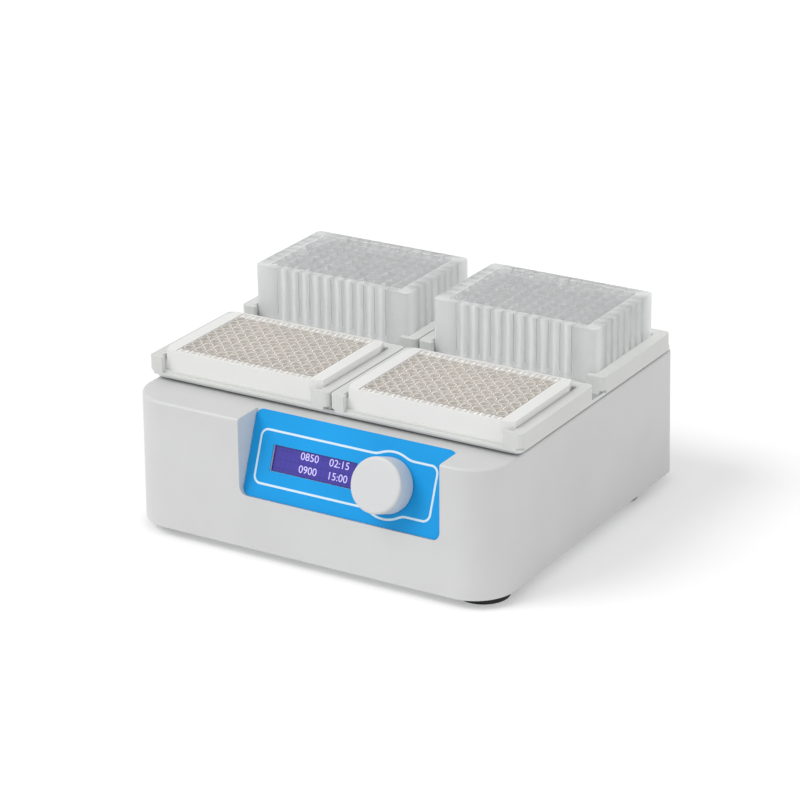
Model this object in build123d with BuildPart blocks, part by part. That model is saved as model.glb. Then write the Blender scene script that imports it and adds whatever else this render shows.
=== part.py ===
from build123d import *
from math import cos, radians, sin, tan
import os

os.makedirs("parts", exist_ok=True)

# Microplate shaker for four plates, in millimetres. X runs to the right, Y to the back
# and Z up. The origin lies midway between the knob and the rear wall, on the surface that
# the feet stand on. A motor turns an eccentric pin under the platform, and four cranks with
# the same throw keep the platform from turning, so that it runs round a small circle.
# Screws and their holes are six-sided, and the wells of the strips square.
small_sides = 6

# Microplates: the standard footprint, and two heights
plate_length = 127.76
plate_width = 85.48
well_pitch = 9.0
well_columns = 12
well_rows = 8

low_plate_height = 14.35
low_skirt_height = 6.0
low_corner_cut_x = 9.0
low_corner_cut_y = 3.0
frame_wall = 1.6
strip_width = 8.8
strip_length = 82.0
strip_tab = 2.0
strip_floor_gap = 2.0
strip_well = 6.6
strip_well_floor = 1.0
strip_clearance = 0.3

deep_plate_height = 40.0
deep_skirt_height = 3.0
deep_skirt_step = 0.28
deep_corner_radius = 3.5
deep_wall = 1.4
deep_well = 8.1
deep_well_floor = 1.5
deep_hollow_roof = 2.0
deep_rib_width = 1.4
deep_rib_pitch = 24.5

# Housing: a tapered moulding, open below
housing_length = 288.2
housing_depth = 265.6
housing_height = 92.2
housing_draft = 0.75
front_corner_radius = 30.2
rear_corner_radius = 13.2
top_edge_radius = 1.8
wall = 3.0
housing_y = 4.8
foot_height = 7.0

# Panel niche in the front edge of the housing
panel_tilt = 21.2
panel_top_inset = 24.8
panel_length = 60.0
niche_left = -51.3
niche_right = 104.5
niche_corner_radius = 6.0
overlay_thickness = 0.8
overlay_gap = 0.3

# Display, measured down the panel from its top edge
window_x = -0.4
window_s = 30.35
window_length = 66.0
window_width = 17.9
window_depth = 2.2
glass_thickness = 2.0
glass_gap = 0.3
bezel_length = 71.0
bezel_width = 25.0
bezel_thickness = 6.0
display_board_length = 80.0
display_board_width = 36.0
display_hole_inset = 2.5
board_thickness = 1.6
display_boss_radius = 2.4
display_screw_radius = 1.2
display_screw_length = 5.5

# Encoder and knob
knob_x = 58.3
knob_s = 31.2
knob_radius = 18.9
knob_height = 18.0
knob_edge_radius = 1.8
knob_gap = 0.9
knob_pocket_radius = 8.0
knob_pocket_depth = 3.6
knob_bore_roof = 4.0
knob_travel = 0.6
encoder_size = 13.0
encoder_height = 7.0
bushing_radius = 3.5
bushing_rise = 3.0
encoder_shaft_radius = 3.0
encoder_cavity_radius = 5.2
encoder_roof = 2.2
encoder_rotor_radius = 5.0
encoder_rotor_height = 2.0
encoder_nut_size = 5.7
encoder_nut_height = 2.0
encoder_board_size = 24.0

# Holders and platform
holder_length = 145.6
holder_width = 100.0
holder_gap = 1.2
holder_row_pitch = 114.0
holder_rows_shift = 8.3
holder_base = 3.0
holder_wall_height = 9.5
holder_corner_radius = 4.0
nest_clearance = 0.6
post_depth = 4.4
left_post_width = 10.8
right_post_width = 13.4
lip_step_depth = 2.4
lip_step_drop = 1.5
post_undercut = 4.0
post_undercut_height = 2.6
deep_plate_shift = 0.5
platform_thickness = 2.5
platform_gap = 1.8
platform_side_inset = 2.7
platform_front_inset = 2.5
platform_rear_reach = 8.7
platform_corner_radius = 6.0
holder_screw_radius = 2.0
holder_screw_head_radius = 4.0
holder_screw_sink = 1.6
holder_screw_inset = 30.0

# Drive
throw = 1.5
pin_radius = 5.0
crank_spacing_x = 216.0
crank_spacing_y = 160.0
crank_disc_radius = 12.0
crank_disc_thickness = 3.0
cup_flange_size = 34.0
cup_flange_thickness = 1.2
cup_barrel_radius = 10.0
cup_barrel_height = 9.8
cup_roof_gap = 2.0
cup_rub_gap = 0.7
top_opening_radius = 13.5
block_size = 44.0
block_barrel_radius = 14.0
block_flange_thickness = 4.0
block_height = 8.0
block_rub_gap = 0.3
block_screw_offset = 18.0
shaft_clearance = 0.03
seat_clearance = 0.02
shoulder = 4.0

# Motor and counterweight
motor_radius = 35.0
motor_can_height = 32.0
motor_can_wall = 2.0
motor_floor = 8.0
motor_seat_depth = 6.0
motor_front_thickness = 8.0
motor_screw_circle = 26.0
rotor_radius = 20.0
rotor_height = 18.0
rotor_lift = 1.0
stator_height = 20.0
stator_gap = 0.6
counterweight_radius = 52.0
counterweight_thickness = 5.0
counterweight_hub_radius = 12.0

# Chassis
base_thickness = 2.0
base_fit = 0.3
deck_thickness = 4.0
deck_length = 264.0
deck_width = 208.0
pillar_size = 5.0
pillar_spacing_x = 110.0
pillar_spacing_y = 192.0
boss_radius = 5.0
boss_height = 20.0
boss_sink = 1.0
boss_spacing_y = 92.0
screw_radius = 2.0
screw_length = 8.0
screw_head_size = 3.6
screw_head_height = 2.6
thread_clearance = 0.05

# Feet
foot_radius = 18.0
foot_inset_x = 24.1
foot_inset_front = 30.4
foot_inset_rear = 52.0
foot_recess_radius = 6.5
foot_recess_depth = 3.6
foot_bolt_radius = 2.5
foot_bolt_head_radius = 5.0
foot_bolt_head_height = 2.4
foot_nut_size = 4.6
foot_nut_height = 4.0
foot_bolt_end = 0.8

# Circuit boards on the base plate
board_lift = 8.0
board_post_size = 3.0
board_post_inset = 4.0
board_nub_radius = 1.4
board_nub_height = 2.2
power_board_x = -85.0
power_board_shift = 58.0
power_board_length = 80.0
power_board_width = 76.0
control_board_x = 82.0
control_board_shift = -5.0
control_board_length = 66.0
control_board_width = 80.0

# Mains inlet and switch, in a recess of the rear wall
recess_left = -120.0
recess_right = -44.0
recess_bottom = 14.0
recess_top = 62.0
recess_depth = 5.3
flange_thickness = 2.0
inlet_x = -98.0
inlet_z = 38.0
inlet_flange_width = 31.0
inlet_flange_height = 42.0
inlet_body_width = 27.0
inlet_body_height = 38.0
inlet_body_depth = 22.0
cutout_clearance = 0.2
socket_width = 24.2
socket_height = 16.8
socket_depth = 16.0
socket_corner_cut = 3.0
socket_rise = 8.0
blade_width = 2.0
blade_height = 4.0
blade_length = 21.0
blade_pitch = 7.0
blade_row_offset = 2.0
blade_recess = 2.0
drawer_drop = 11.0
drawer_width = 21.0
drawer_height = 9.0
drawer_depth = 18.0
drawer_clearance = 0.2
drawer_face_width = 25.0
drawer_face_height = 11.0
drawer_face_thickness = 2.5
fuse_radius = 2.6
fuse_length = 19.8
fuse_back = 6.0
switch_x = -62.0
switch_flange_width = 15.0
switch_flange_height = 22.0
switch_body_width = 13.0
switch_body_height = 20.0
switch_body_depth = 14.0
rocker_width = 10.0
rocker_radius = 8.6
rocker_clearance = 0.3
rocker_pivot_depth = 3.2
rocker_face_rise = 3.8
rocker_ear_rise = 5.6
rocker_back = 4.0
rocker_pin_radius = 1.2
rocker_pin_reach = 0.8

# Vents in the rear wall
vent_count = 10
vent_pitch = 8.0
vent_width = 3.0
vent_height = 24.0
vent_x = 66.0
vent_z = 42.0

# Levels, from the surface up
housing_top = foot_height + housing_height
platform_bottom = housing_top + platform_gap
platform_top = platform_bottom + platform_thickness
nest_floor = platform_top + holder_base
base_top = foot_height + base_thickness
cup_bottom = platform_bottom - cup_flange_thickness - cup_barrel_height
disc_top = cup_bottom - cup_rub_gap
disc_bottom = disc_top - crank_disc_thickness
block_top = disc_bottom - block_rub_gap
deck_top = block_top - block_height
deck_bottom = deck_top - deck_thickness
motor_front_bottom = deck_bottom - motor_front_thickness
motor_bottom = motor_front_bottom - motor_can_height
board_bottom = base_top + board_lift
board_top = board_bottom + board_thickness

# Places in plan
housing_front = housing_y - housing_depth / 2
housing_rear = housing_y + housing_depth / 2
holder_x = (holder_length + holder_gap) / 2
holder_rows_y = housing_y + holder_rows_shift
front_holder_y = holder_rows_y - holder_row_pitch / 2
rear_holder_y = holder_rows_y + holder_row_pitch / 2
nest_length = plate_length + 2 * nest_clearance
nest_width = plate_width + 2 * nest_clearance
nest_y = -holder_width / 2 + post_depth + nest_width / 2
platform_length = 2 * (holder_x + holder_length / 2 - platform_side_inset)
platform_front = front_holder_y - holder_width / 2 + platform_front_inset
platform_rear = rear_holder_y + holder_width / 2 + platform_rear_reach
platform_y = (platform_front + platform_rear) / 2
drive_y = platform_y - throw
crank_places = [
    ("left_front", -crank_spacing_x / 2, drive_y - crank_spacing_y / 2),
    ("right_front", crank_spacing_x / 2, drive_y - crank_spacing_y / 2),
    ("left_rear", -crank_spacing_x / 2, drive_y + crank_spacing_y / 2),
    ("right_rear", crank_spacing_x / 2, drive_y + crank_spacing_y / 2),
]
crank_points = [(x, y) for _, x, y in crank_places]
pin_points = [(x, y + throw) for x, y in crank_points + [(0, drive_y)]]
foot_x = housing_length / 2 - foot_inset_x
foot_points = [
    (side * foot_x, y)
    for side in (-1, 1)
    for y in (housing_front + foot_inset_front, housing_rear - foot_inset_rear)
]
boss_x = housing_length / 2 - wall - boss_radius + boss_sink
boss_points = [
    (side * boss_x, drive_y + row * boss_spacing_y) for side in (-1, 1) for row in (-1, 1)
]
pillar_points = [
    (side * pillar_spacing_x / 2, drive_y + row * pillar_spacing_y / 2)
    for side in (-1, 1)
    for row in (-1, 1)
]
block_screw_points = [(x, y + row * block_screw_offset) for x, y in crank_points for row in (-1, 1)]
motor_screw_points = [
    (motor_screw_circle * cos(radians(a)), drive_y + motor_screw_circle * sin(radians(a)))
    for a in (45, 135, 225, 315)
]
holder_screw_points = [(side * (holder_length / 2 - holder_screw_inset), nest_y) for side in (-1, 1)]

# The panel's outer face: its Y axis runs up the slope and its Z axis out of it
panel_top_y = housing_front + panel_top_inset
panel_out = (0, -cos(radians(panel_tilt)), sin(radians(panel_tilt)))
panel_face = Plane(origin=(0, panel_top_y, housing_top), x_dir=(1, 0, 0), z_dir=panel_out)
panel_floor = panel_face.offset(-overlay_thickness)
panel_back = panel_floor.offset(-wall)
window_place = (window_x, -window_s)
knob_place = (knob_x, -knob_s)
niche_x = (niche_left + niche_right) / 2
niche_length = niche_right - niche_left
glass_front = panel_face.offset(-window_depth)
bezel_front = glass_front.offset(-glass_thickness)
display_board_front = bezel_front.offset(-bezel_thickness)
display_hole_pitch_x = display_board_length - 2 * display_hole_inset
display_hole_pitch_y = display_board_width - 2 * display_hole_inset

# The bottom of the rear recess: its X axis runs left, its Y axis up and its Z axis back
recess_y = housing_rear - recess_depth
rear_face = Plane(origin=(0, recess_y, 0), x_dir=(-1, 0, 0), z_dir=(0, 1, 0))
flange_front = rear_face.offset(flange_thickness)

# Housing shell
with BuildPart() as housing_shell:
    with BuildSketch(Plane(origin=(0, housing_y, foot_height))) as footprint:
        Rectangle(housing_length, housing_depth)
        fillet(footprint.vertices().group_by(Axis.Y)[0], front_corner_radius)
        fillet(footprint.vertices().group_by(Axis.Y)[-1], rear_corner_radius)
    extrude(amount=housing_height, taper=housing_draft)
    fillet(housing_shell.faces().sort_by(Axis.Z)[-1].edges(), top_edge_radius)
    # Niche for the panel, through the front and the top
    with BuildSketch(panel_floor) as niche:
        with Locations((niche_x, -panel_length / 2 + overlay_thickness)):
            Rectangle(niche_length, panel_length)
        fillet(niche.vertices().group_by(Axis.Z)[0], niche_corner_radius)
        with Locations((niche_x, 0)):
            Rectangle(niche_length, panel_length / 2)
    extrude(amount=panel_length, mode=Mode.SUBTRACT)
    # Recess for the mains inlet and switch
    with BuildSketch(rear_face):
        with Locations((-(recess_left + recess_right) / 2, (recess_bottom + recess_top) / 2)):
            Rectangle(recess_right - recess_left, recess_top - recess_bottom)
    extrude(amount=2 * recess_depth, mode=Mode.SUBTRACT)
    offset(amount=-wall, openings=housing_shell.faces().sort_by(Axis.Z)[0])
    # Openings in the top for the bearing cups
    with BuildSketch(Plane.XY.offset(housing_top)):
        with Locations(*pin_points):
            Circle(top_opening_radius)
    extrude(amount=-2 * wall, mode=Mode.SUBTRACT)
    # Window, encoder hole and display bosses
    with BuildSketch(panel_floor):
        with Locations(window_place):
            Rectangle(window_length, window_width)
        with Locations(knob_place):
            Circle(bushing_radius + drawer_clearance)
    extrude(amount=-2 * wall, mode=Mode.SUBTRACT)
    with BuildSketch(display_board_front):
        with Locations(window_place):
            with GridLocations(display_hole_pitch_x, display_hole_pitch_y, 2, 2):
                Rectangle(2 * display_boss_radius, 2 * display_boss_radius)
    extrude(until=Until.NEXT)
    with BuildSketch(display_board_front):
        with Locations(window_place):
            with GridLocations(display_hole_pitch_x, display_hole_pitch_y, 2, 2):
                RegularPolygon(display_screw_radius + thread_clearance, small_sides)
    extrude(amount=display_screw_length, mode=Mode.SUBTRACT)
    # Screw bosses for the base plate
    with BuildSketch(Plane.XY.offset(base_top)):
        with Locations(*boss_points):
            Rectangle(2 * boss_radius, 2 * boss_radius)
    extrude(amount=boss_height)
    with BuildSketch(Plane.XY.offset(base_top)):
        with Locations(*boss_points):
            RegularPolygon(screw_radius + thread_clearance, small_sides)
    extrude(amount=screw_length, mode=Mode.SUBTRACT)
    # Cut-outs for the inlet and the switch, and the vents
    with BuildSketch(rear_face):
        with Locations((-inlet_x, inlet_z)):
            Rectangle(inlet_body_width + 2 * cutout_clearance, inlet_body_height + 2 * cutout_clearance)
        with Locations((-switch_x, inlet_z)):
            Rectangle(switch_body_width + 2 * cutout_clearance, switch_body_height + 2 * cutout_clearance)
        with Locations((-vent_x, vent_z)):
            with GridLocations(vent_pitch, 0, vent_count, 1):
                Rectangle(vent_width, vent_height)
    extrude(amount=2 * (recess_depth + wall), both=True, mode=Mode.SUBTRACT)

housing_shell.part.label = "housing_shell"
export_step(housing_shell.part, "parts/housing_shell.step")

# Printed overlay on the panel
with BuildPart() as panel_overlay:
    with BuildSketch(panel_floor) as overlay:
        with Locations((niche_x, -panel_length / 2 + overlay_thickness)):
            Rectangle(niche_length - 2 * overlay_gap, panel_length - 2 * overlay_gap)
        fillet(overlay.vertices().group_by(Axis.Z)[0], niche_corner_radius - overlay_gap)
        with Locations(window_place):
            Rectangle(window_length, window_width, mode=Mode.SUBTRACT)
        with Locations(knob_place):
            Circle(bushing_radius + drawer_clearance, mode=Mode.SUBTRACT)
    extrude(amount=overlay_thickness)

panel_overlay.part.label = "panel_overlay"
export_step(panel_overlay.part, "parts/panel_overlay.step")

# Display module behind the window
with BuildPart() as display_glass:
    with BuildSketch(glass_front):
        with Locations(window_place):
            Rectangle(window_length - 2 * glass_gap, window_width - 2 * glass_gap)
    extrude(amount=-glass_thickness)

display_glass.part.label = "display_glass"
export_step(display_glass.part, "parts/display_glass.step")

with BuildPart() as display_bezel:
    with BuildSketch(bezel_front):
        with Locations(window_place):
            Rectangle(bezel_length, bezel_width)
    extrude(amount=-bezel_thickness)

display_bezel.part.label = "display_bezel"
export_step(display_bezel.part, "parts/display_bezel.step")

with BuildPart() as display_board:
    with BuildSketch(display_board_front):
        with Locations(window_place):
            Rectangle(display_board_length, display_board_width)
            with GridLocations(display_hole_pitch_x, display_hole_pitch_y, 2, 2):
                RegularPolygon(display_screw_radius + thread_clearance, small_sides, mode=Mode.SUBTRACT)
    extrude(amount=-board_thickness)

display_board.part.label = "display_board"
export_step(display_board.part, "parts/display_board.step")

with BuildPart() as display_screws:
    with BuildSketch(display_board_front.offset(-board_thickness)):
        with Locations(window_place):
            with GridLocations(display_hole_pitch_x, display_hole_pitch_y, 2, 2):
                RegularPolygon(display_screw_radius, small_sides)
    extrude(amount=display_screw_length)
    with BuildSketch(display_board_front.offset(-board_thickness)):
        with Locations(window_place):
            with GridLocations(display_hole_pitch_x, display_hole_pitch_y, 2, 2):
                RegularPolygon(2 * display_screw_radius, small_sides)
    extrude(amount=-board_thickness)

display_screws.part.label = "display_screws"
export_step(display_screws.part, "parts/display_screws.step")

# Encoder: a body with a threaded bushing, open at the back, and its nut
with BuildPart() as encoder_body:
    with BuildSketch(panel_back):
        with Locations(knob_place):
            Rectangle(encoder_size, encoder_size)
    extrude(amount=-encoder_height)
    with BuildSketch(panel_back):
        with Locations(knob_place):
            Circle(bushing_radius)
    extrude(amount=wall + overlay_thickness + bushing_rise)
    with BuildSketch(panel_back.offset(-encoder_height)):
        with Locations(knob_place):
            Circle(encoder_cavity_radius)
    extrude(amount=encoder_height - encoder_roof, mode=Mode.SUBTRACT)
    with BuildSketch(panel_back.offset(-encoder_height)):
        with Locations(knob_place):
            Circle(encoder_shaft_radius + shaft_clearance)
    extrude(amount=encoder_height + wall + overlay_thickness + bushing_rise, mode=Mode.SUBTRACT)

encoder_body.part.label = "encoder_body"
export_step(encoder_body.part, "parts/encoder_body.step")

with BuildPart() as encoder_nut:
    with BuildSketch(panel_face):
        with Locations(knob_place):
            RegularPolygon(encoder_nut_size, small_sides)
            Circle(bushing_radius + thread_clearance, mode=Mode.SUBTRACT)
    extrude(amount=encoder_nut_height)

encoder_nut.part.label = "encoder_nut"
export_step(encoder_nut.part, "parts/encoder_nut.step")

with BuildPart() as encoder_board:
    with BuildSketch(panel_back.offset(-encoder_height)):
        with Locations(knob_place):
            Rectangle(encoder_board_size, encoder_board_size)
    extrude(amount=-board_thickness)

encoder_board.part.label = "encoder_board"
export_step(encoder_board.part, "parts/encoder_board.step")

with BuildPart() as encoder_rotor:
    with BuildSketch(panel_back.offset(-encoder_roof - drawer_clearance)):
        with Locations(knob_place):
            Circle(encoder_rotor_radius)
            Circle(encoder_shaft_radius + seat_clearance, mode=Mode.SUBTRACT)
    extrude(amount=-encoder_rotor_height)

encoder_rotor.part.label = "encoder_rotor"
export_step(encoder_rotor.part, "parts/encoder_rotor.step")

# Knob on its shaft, with room below for the press
knob_shaft_end = encoder_height - 2 * knob_travel
with BuildPart() as knob_shaft:
    with BuildSketch(panel_back.offset(-knob_shaft_end)):
        with Locations(knob_place):
            Circle(encoder_shaft_radius)
    extrude(amount=knob_shaft_end + wall + overlay_thickness + knob_height - knob_bore_roof)

knob_shaft.part.label = "knob_shaft"
export_step(knob_shaft.part, "parts/knob_shaft.step")

with BuildPart() as knob:
    with BuildSketch(panel_face.offset(knob_gap)):
        with Locations(knob_place):
            Circle(knob_radius)
    extrude(amount=knob_height - knob_gap)
    crown = knob.faces().filter_by(Plane(origin=(0, 0, 0), z_dir=panel_out)).sort_by(Axis.Z)[-1]
    fillet(crown.edges(), knob_edge_radius)
    with BuildSketch(panel_face.offset(knob_gap)):
        with Locations(knob_place):
            Circle(knob_pocket_radius)
    extrude(amount=knob_pocket_depth, mode=Mode.SUBTRACT)
    with BuildSketch(panel_face.offset(knob_gap)):
        with Locations(knob_place):
            Circle(encoder_shaft_radius + seat_clearance)
    extrude(amount=knob_height - knob_gap - knob_bore_roof, mode=Mode.SUBTRACT)

knob.part.label = "knob"
export_step(knob.part, "parts/knob.step")

# Base plate inside the housing's rim
with BuildPart() as base_plate:
    with BuildSketch(Plane.XY.offset(foot_height)) as base:
        with Locations((0, housing_y)):
            Rectangle(housing_length - 2 * (wall + base_fit), housing_depth - 2 * (wall + base_fit))
        fillet(base.vertices().group_by(Axis.Y)[0], front_corner_radius - wall)
        fillet(base.vertices().group_by(Axis.Y)[-1], rear_corner_radius - wall)
        with Locations(*boss_points, *pillar_points):
            RegularPolygon(screw_radius + thread_clearance, small_sides, mode=Mode.SUBTRACT)
        with Locations(*foot_points):
            RegularPolygon(foot_bolt_radius + thread_clearance, small_sides, mode=Mode.SUBTRACT)
    extrude(amount=base_thickness)

base_plate.part.label = "base_plate"
export_step(base_plate.part, "parts/base_plate.step")

# Rubber feet, each held by a bolt and a nut
with BuildPart() as feet:
    with BuildSketch(Plane.XY):
        with Locations(*foot_points):
            Circle(foot_radius)
    extrude(amount=foot_height)
    with BuildSketch(Plane.XY):
        with Locations(*foot_points):
            RegularPolygon(foot_recess_radius, small_sides)
    extrude(amount=foot_recess_depth, mode=Mode.SUBTRACT)
    with BuildSketch(Plane.XY):
        with Locations(*foot_points):
            RegularPolygon(foot_bolt_radius + thread_clearance, small_sides)
    extrude(amount=foot_height, mode=Mode.SUBTRACT)

feet.part.label = "feet"
export_step(feet.part, "parts/feet.step")

with BuildPart() as foot_bolts:
    with BuildSketch(Plane.XY.offset(foot_recess_depth)):
        with Locations(*foot_points):
            RegularPolygon(foot_bolt_head_radius, small_sides)
    extrude(amount=-foot_bolt_head_height)
    with BuildSketch(Plane.XY.offset(foot_recess_depth)):
        with Locations(*foot_points):
            RegularPolygon(foot_bolt_radius, small_sides)
    extrude(amount=base_top + foot_nut_height + foot_bolt_end - foot_recess_depth)

foot_bolts.part.label = "foot_bolts"
export_step(foot_bolts.part, "parts/foot_bolts.step")

with BuildPart() as foot_nuts:
    with BuildSketch(Plane.XY.offset(base_top)):
        with Locations(*foot_points):
            RegularPolygon(foot_nut_size, small_sides)
            RegularPolygon(foot_bolt_radius + thread_clearance, small_sides, mode=Mode.SUBTRACT)
    extrude(amount=foot_nut_height)

foot_nuts.part.label = "foot_nuts"
export_step(foot_nuts.part, "parts/foot_nuts.step")

# Hexagonal pillars between the base plate and the deck
with BuildPart() as pillars:
    with BuildSketch(Plane.XY.offset(base_top)):
        with Locations(*pillar_points):
            RegularPolygon(pillar_size, small_sides)
    extrude(amount=deck_bottom - base_top)
    for level, way in ((base_top, 1), (deck_bottom, -1)):
        with BuildSketch(Plane.XY.offset(level)):
            with Locations(*pillar_points):
                RegularPolygon(screw_radius + thread_clearance, small_sides)
        extrude(amount=way * screw_length, mode=Mode.SUBTRACT)

pillars.part.label = "pillars"
export_step(pillars.part, "parts/pillars.step")

with BuildPart() as deck_plate:
    with BuildSketch(Plane.XY.offset(deck_bottom)):
        with Locations((0, drive_y)):
            RectangleRounded(deck_length, deck_width, boss_radius)
        with Locations((0, drive_y)):
            Circle(pin_radius + shoulder, mode=Mode.SUBTRACT)
        with Locations(*pillar_points, *block_screw_points, *motor_screw_points):
            RegularPolygon(screw_radius + thread_clearance, small_sides, mode=Mode.SUBTRACT)
    extrude(amount=deck_thickness)

deck_plate.part.label = "deck_plate"
export_step(deck_plate.part, "parts/deck_plate.step")

# Screws of one size: up into bosses and pillars, and down through the deck
with BuildPart() as chassis_screws:
    screw_rows = (
        (foot_height, 1, boss_points + pillar_points),
        (deck_top, -1, pillar_points + motor_screw_points),
        (deck_top + block_flange_thickness, -1, block_screw_points),
    )
    for level, way, points in screw_rows:
        with BuildSketch(Plane.XY.offset(level)):
            with Locations(*points):
                RegularPolygon(screw_radius, small_sides)
        extrude(amount=way * screw_length)
        with BuildSketch(Plane.XY.offset(level)):
            with Locations(*points):
                RegularPolygon(screw_head_size, small_sides)
        extrude(amount=-way * screw_head_height)

chassis_screws.part.label = "chassis_screws"
export_step(chassis_screws.part, "parts/chassis_screws.step")

# Motor, hung under the deck
with BuildPart() as motor_can:
    with BuildSketch(Plane.XY.offset(motor_bottom)):
        with Locations((0, drive_y)):
            Circle(motor_radius)
    extrude(amount=motor_can_height)
    with BuildSketch(Plane.XY.offset(motor_bottom + motor_floor)):
        with Locations((0, drive_y)):
            Circle(motor_radius - motor_can_wall)
    extrude(amount=motor_can_height, mode=Mode.SUBTRACT)
    with BuildSketch(Plane.XY.offset(motor_bottom + motor_floor)):
        with Locations((0, drive_y)):
            Circle(pin_radius + shaft_clearance)
    extrude(amount=-motor_seat_depth, mode=Mode.SUBTRACT)

motor_can.part.label = "motor_can"
export_step(motor_can.part, "parts/motor_can.step")

with BuildPart() as motor_front:
    with BuildSketch(Plane.XY.offset(motor_front_bottom)):
        with Locations((0, drive_y)):
            Circle(motor_radius)
            Circle(pin_radius + shaft_clearance, mode=Mode.SUBTRACT)
    extrude(amount=motor_front_thickness)
    with BuildSketch(Plane.XY.offset(deck_bottom)):
        with Locations(*motor_screw_points):
            RegularPolygon(screw_radius + thread_clearance, small_sides)
    extrude(amount=-screw_length + deck_thickness, mode=Mode.SUBTRACT)

motor_front.part.label = "motor_front"
export_step(motor_front.part, "parts/motor_front.step")

with BuildPart() as motor_stator:
    with BuildSketch(Plane.XY.offset(motor_bottom + motor_floor)):
        with Locations((0, drive_y)):
            Circle(motor_radius - motor_can_wall - shaft_clearance)
            Circle(rotor_radius + stator_gap, mode=Mode.SUBTRACT)
    extrude(amount=stator_height)

motor_stator.part.label = "motor_stator"
export_step(motor_stator.part, "parts/motor_stator.step")

with BuildPart() as motor_rotor:
    with BuildSketch(Plane.XY.offset(motor_bottom + motor_floor + rotor_lift)):
        with Locations((0, drive_y)):
            Circle(rotor_radius)
            Circle(pin_radius + seat_clearance, mode=Mode.SUBTRACT)
    extrude(amount=rotor_height)

motor_rotor.part.label = "motor_rotor"
export_step(motor_rotor.part, "parts/motor_rotor.step")

# Half disc that balances the platform, opposite the eccentric pin
with BuildPart() as counterweight:
    with BuildSketch(Plane.XY.offset(disc_bottom)):
        with Locations((0, drive_y)):
            Circle(counterweight_radius)
        with Locations((0, drive_y + counterweight_radius)):
            Rectangle(2 * counterweight_radius, 2 * counterweight_radius, mode=Mode.SUBTRACT)
        with Locations((0, drive_y)):
            Circle(counterweight_hub_radius)
            Circle(pin_radius + seat_clearance, mode=Mode.SUBTRACT)
    extrude(amount=-counterweight_thickness)

counterweight.part.label = "counterweight"
export_step(counterweight.part, "parts/counterweight.step")

# The drive shaft and the four cranks: a journal, a disc and a pin beside the axis
crank_end = deck_top + block_rub_gap
shaft_end = motor_bottom + motor_floor - motor_seat_depth + shoulder / 4
for label, x, y, end in [("drive_shaft", 0, drive_y, shaft_end)] + [
    (f"crank_{side}", x, y, crank_end) for side, x, y in crank_places
]:
    with BuildPart() as crank:
        with BuildSketch(Plane(origin=(x, y, end))):
            Circle(pin_radius)
        extrude(amount=disc_bottom - end)
        with BuildSketch(Plane(origin=(x, y, disc_bottom))):
            Circle(crank_disc_radius)
        extrude(amount=crank_disc_thickness)
        with BuildSketch(Plane(origin=(x, y + throw, disc_top))):
            Circle(pin_radius)
        extrude(amount=platform_bottom - cup_roof_gap - disc_top)

    crank.part.label = label
    export_step(crank.part, f"parts/{label}.step")

# Bearing blocks on the deck, a round barrel on a square flange
with BuildPart() as crank_blocks:
    with BuildSketch(Plane.XY.offset(deck_top)):
        with Locations(*crank_points):
            Rectangle(block_size, block_size)
    extrude(amount=block_flange_thickness)
    with BuildSketch(Plane.XY.offset(deck_top)):
        with Locations(*crank_points):
            Circle(block_barrel_radius)
    extrude(amount=block_height)
    with BuildSketch(Plane.XY.offset(deck_top)):
        with Locations(*crank_points):
            Circle(pin_radius + shaft_clearance)
    extrude(amount=block_height, mode=Mode.SUBTRACT)
    with BuildSketch(Plane.XY.offset(deck_top)):
        with Locations(*block_screw_points):
            RegularPolygon(screw_radius + thread_clearance, small_sides)
    extrude(amount=block_flange_thickness, mode=Mode.SUBTRACT)

crank_blocks.part.label = "crank_blocks"
export_step(crank_blocks.part, "parts/crank_blocks.step")

# Bearing cups under the platform, over the five pins
with BuildPart() as bearing_cups:
    with BuildSketch(Plane.XY.offset(platform_bottom)):
        with Locations(*pin_points):
            Rectangle(cup_flange_size, cup_flange_size)
    extrude(amount=-cup_flange_thickness)
    with BuildSketch(Plane.XY.offset(cup_bottom)):
        with Locations(*pin_points):
            Circle(cup_barrel_radius)
            Circle(pin_radius + shaft_clearance, mode=Mode.SUBTRACT)
    extrude(amount=cup_barrel_height)

bearing_cups.part.label = "bearing_cups"
export_step(bearing_cups.part, "parts/bearing_cups.step")

# Platform plate
holder_places = [
    ("holder_front_left", -holder_x, front_holder_y),
    ("holder_front_right", holder_x, front_holder_y),
    ("holder_rear_left", -holder_x, rear_holder_y),
    ("holder_rear_right", holder_x, rear_holder_y),
]
all_holder_screws = [(x + sx, y + sy) for _, x, y in holder_places for sx, sy in holder_screw_points]
with BuildPart() as platform_plate:
    with BuildSketch(Plane.XY.offset(platform_bottom)):
        with Locations((0, platform_y)):
            RectangleRounded(platform_length, platform_rear - platform_front, platform_corner_radius)
        with Locations(*all_holder_screws):
            RegularPolygon(holder_screw_radius + thread_clearance, small_sides, mode=Mode.SUBTRACT)
    extrude(amount=platform_thickness)

platform_plate.part.label = "platform_plate"
export_step(platform_plate.part, "parts/platform_plate.step")

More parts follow.
